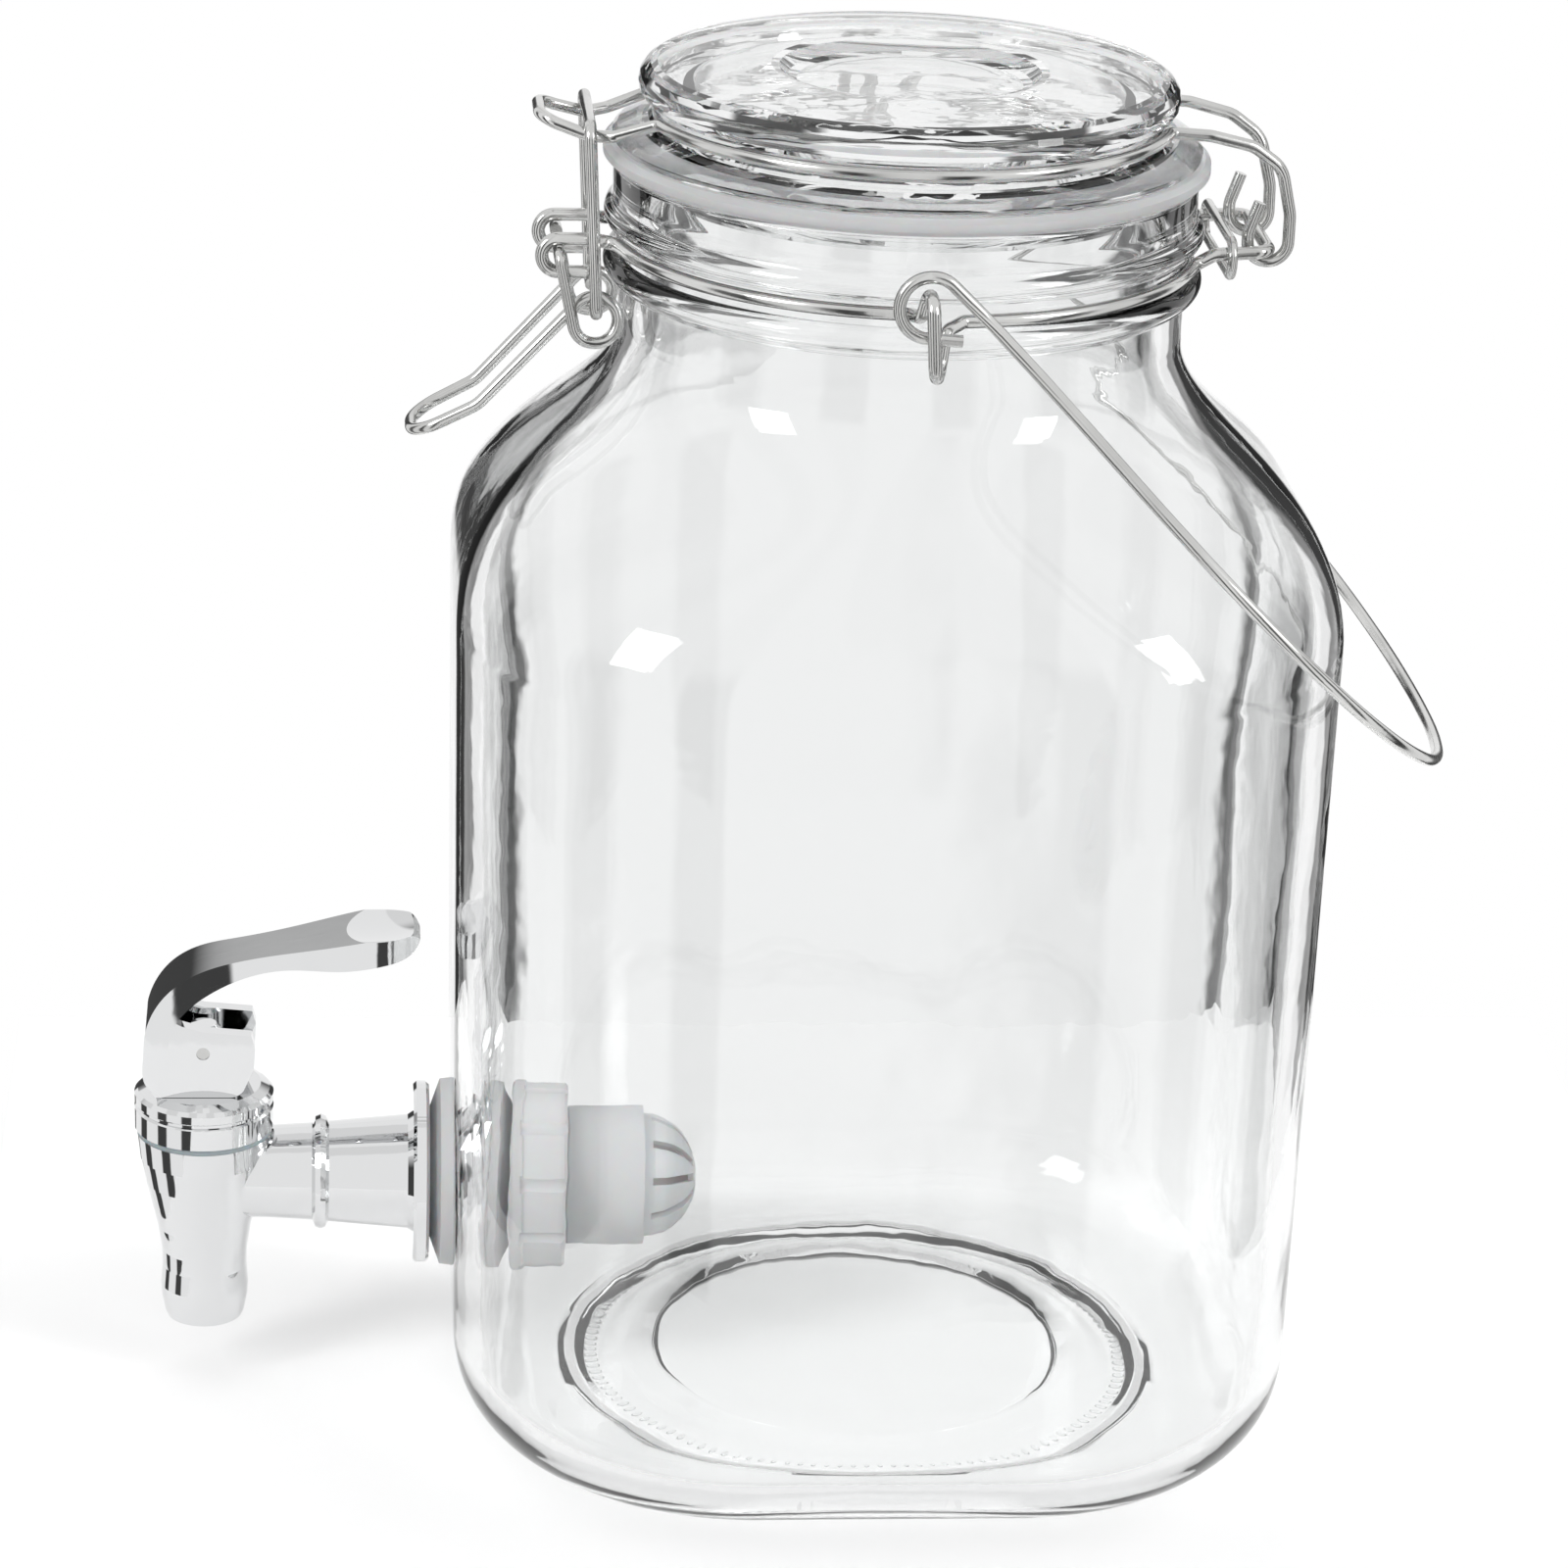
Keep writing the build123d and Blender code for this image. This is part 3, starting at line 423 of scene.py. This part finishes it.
def add_window(name, size, place, watts):
    """A soft upright light turned towards the jar, for the highlights of a window."""
    data = bpy.data.lights.new(name, "AREA")
    data.shape = "RECTANGLE"
    data.size, data.size_y = size
    data.energy = watts
    lamp = bpy.data.objects.new(name, data)
    bpy.context.scene.collection.objects.link(lamp)
    lamp.location = place
    lamp.rotation_euler = (Vector(WINDOW_AIM) - Vector(place)).to_track_quat("-Z", "Y").to_euler()


def studio_world():
    """White cards and a white ceiling with dark gaps between, which give glass its dark edges.

    The camera itself sees plain white."""
    world = bpy.data.worlds.new("studio_white")
    bpy.context.scene.world = world
    world.use_nodes = True
    tree = world.node_tree
    coords = tree.nodes.new("ShaderNodeTexCoord")

    def math_node(operation, first, second):
        step = tree.nodes.new("ShaderNodeMath")
        step.operation = operation
        for socket, value in zip(step.inputs, (first, second)):
            if isinstance(value, (int, float)):
                socket.default_value = value
            else:
                tree.links.new(value, socket)
        return step.outputs[0]

    def mapped(value, low, high, dark, bright):
        span = tree.nodes.new("ShaderNodeMapRange")
        span.interpolation_type = "SMOOTHSTEP"
        for socket, number in zip(list(span.inputs)[1:5], (low, high, dark, bright)):
            socket.default_value = number
        tree.links.new(value, span.inputs["Value"])
        return span.outputs["Result"]

    parts = tree.nodes.new("ShaderNodeSeparateXYZ")
    tree.links.new(coords.outputs["Generated"], parts.inputs["Vector"])
    round_about = math_node("ARCTAN2", parts.outputs["Y"], parts.outputs["X"])
    turn = math_node("SUBTRACT", round_about, CARD_TURN)
    wave = math_node("COSINE", math_node("MULTIPLY", turn, CARDS), 0.0)
    cards = mapped(wave, -0.5, -0.1, DARK_GAP, 1.0)
    ceiling = mapped(parts.outputs["Z"], 0.15, 0.5, 0.0, CEILING)
    level = math_node("MAXIMUM", cards, ceiling)
    path = tree.nodes.new("ShaderNodeLightPath")
    level = math_node("MAXIMUM", level, path.outputs["Is Camera Ray"])
    sky = tree.nodes["Background"]
    tree.links.new(level, sky.inputs["Color"])
    sky.inputs["Strength"].default_value = 1.0


add_camera()
add_floor()
studio_world()
bpy.context.scene.view_settings.view_transform = "Standard"
bpy.context.scene.cycles.max_bounces = BOUNCES
bpy.context.scene.cycles.transmission_bounces = BOUNCES
add_window("window_left", (0.4, 0.62), (0.7, -1.12, 0.9), 6)
add_window("window_right", (0.3, 0.7), (0.8, 1.1, 0.8), 5)
